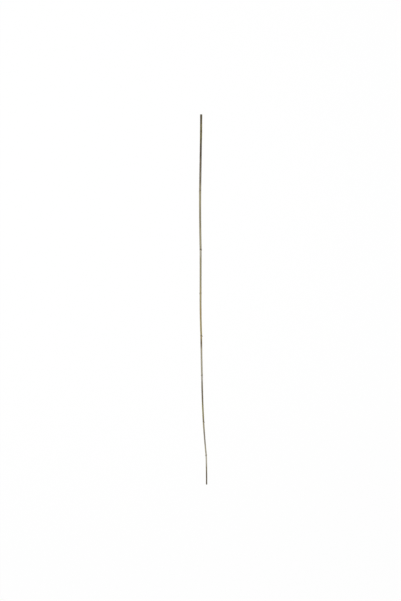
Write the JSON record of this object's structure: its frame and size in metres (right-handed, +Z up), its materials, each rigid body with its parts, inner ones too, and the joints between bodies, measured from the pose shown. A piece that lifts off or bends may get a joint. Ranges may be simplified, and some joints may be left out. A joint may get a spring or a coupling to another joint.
{
  "type": "bamboo cane",
  "caption": "Slender weathered bamboo garden cane with ringed nodes and trimmed branch stubs, gently bowed, tapering to one end, lying flat.",
  "frame": {"origin": "on the ground, under the centre of the cane's bounding box", "axes": "+Y along the cane towards its thick butt end, +Z up off the ground, +X to the right with the butt end away from the viewer"},
  "size_m": [0.0406, 1.8, 0.0123],
  "materials": {
    "bamboo_skin": "weathered natural bamboo, half matt, straw to grey-brown, paler past some nodes"
  },
  "bodies": {
    "root": {"bamboo_cane": "bamboo_skin"}
  },
  "joints": []
}
